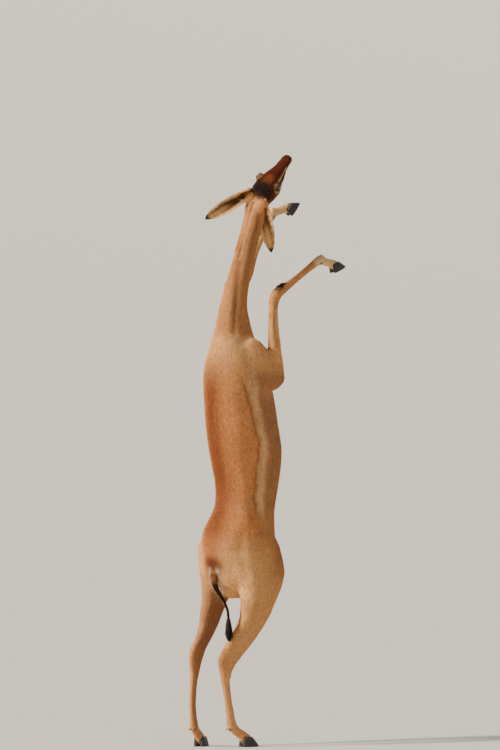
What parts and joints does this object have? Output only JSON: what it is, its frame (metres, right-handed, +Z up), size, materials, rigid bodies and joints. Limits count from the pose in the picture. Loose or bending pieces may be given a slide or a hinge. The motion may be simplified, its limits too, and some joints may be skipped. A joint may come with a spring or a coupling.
{
  "type": "gerenuk",
  "caption": "Still life-size gerenuk doe, a long-necked antelope, reared upright on its hind legs with forelegs raised and head lifted to browse.",
  "frame": {"origin": "on the floor under the middle of the animal's bounding box, level with the soles of the hind hooves", "axes": "+Z up along the reared body, +Y the way the belly and toes face, +X to the animal's right"},
  "size_m": [0.2712, 0.5894, 2.0757],
  "materials": {
    "tan_coat": "short sleek tan coat",
    "saddle_coat": "short reddish brown saddle coat over a pale underside",
    "dark_hair": "black-brown tuft hair",
    "horn": "slate black hoof horn with a satin sheen",
    "eye": "wet dark brown eye"
  },
  "bodies": {
    "root": {"belly": "saddle_coat", "cannon_front_left": "tan_coat", "cannon_front_right": "tan_coat", "cannon_hind_left": "tan_coat", "cannon_hind_right": "tan_coat", "chest": "saddle_coat", "ear_left": "tan_coat", "ear_right": "tan_coat", "eye_left": "eye", "eye_right": "eye", "forearm_left": "tan_coat", "forearm_right": "tan_coat", "head": "tan_coat", "hock_left": "tan_coat", "hock_right": "tan_coat", "hoof_front_left_a": "horn", "hoof_front_left_b": "horn", "hoof_front_right_a": "horn", "hoof_front_right_b": "horn", "hoof_hind_left_a": "horn", "hoof_hind_left_b": "horn", "hoof_hind_right_a": "horn", "hoof_hind_right_b": "horn", "knee_left": "tan_coat", "knee_right": "tan_coat", "neck_lower": "tan_coat", "neck_upper": "tan_coat", "pastern_front_left": "tan_coat", "pastern_front_right": "tan_coat", "pastern_hind_left": "tan_coat", "pastern_hind_right": "tan_coat", "rump": "saddle_coat", "shank_left": "tan_coat", "shank_right": "tan_coat", "shoulder_left": "tan_coat", "shoulder_right": "tan_coat", "tail": "tan_coat", "tail_tuft": "dark_hair", "thigh_left": "tan_coat", "thigh_right": "tan_coat"}
  },
  "joints": []
}
